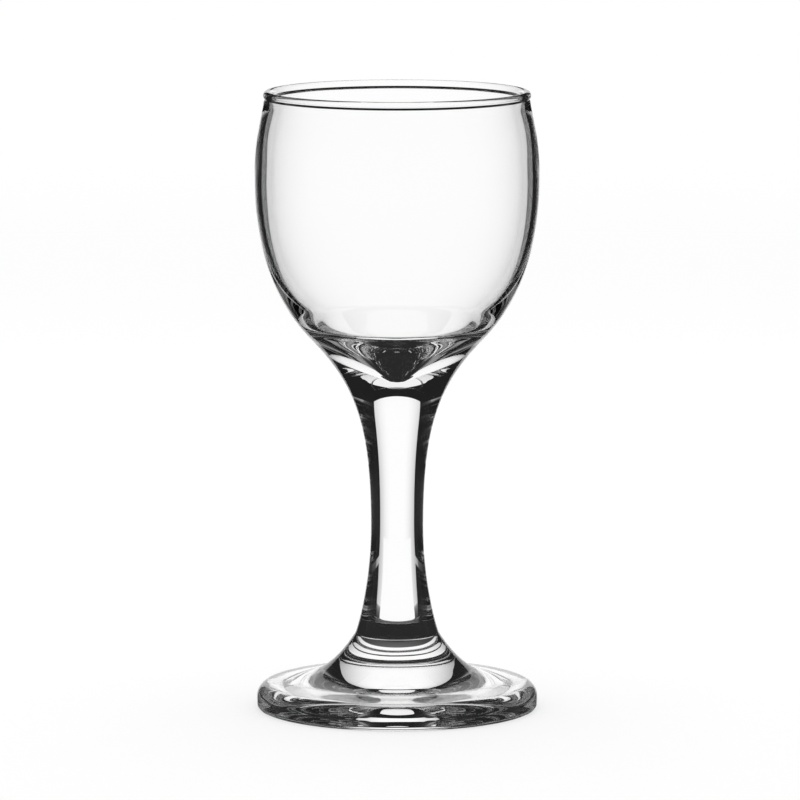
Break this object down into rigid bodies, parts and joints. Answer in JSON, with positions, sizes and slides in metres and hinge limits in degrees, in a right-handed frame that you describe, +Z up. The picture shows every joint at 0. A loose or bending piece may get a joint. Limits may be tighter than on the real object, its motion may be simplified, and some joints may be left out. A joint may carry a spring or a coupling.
{
  "type": "stemmed vodka glass",
  "caption": "Small clear drinking glass: round blown bowl with a beaded rim, solid waisted stem and round foot with a bullnose edge, for a measure of spirit.",
  "frame": {"origin": "middle of the face that the glass stands on, on the axis of the stem", "axes": "+Z up along the stem, out of the mouth of the bowl; the glass is round about Z, so X and Y are free"},
  "size_m": [0.0494, 0.0494, 0.108],
  "materials": {
    "clear_glass": "clear colourless, fire polished"
  },
  "bodies": {
    "root": {"foot": "clear_glass", "stem": "clear_glass", "bowl": "clear_glass"}
  },
  "joints": []
}
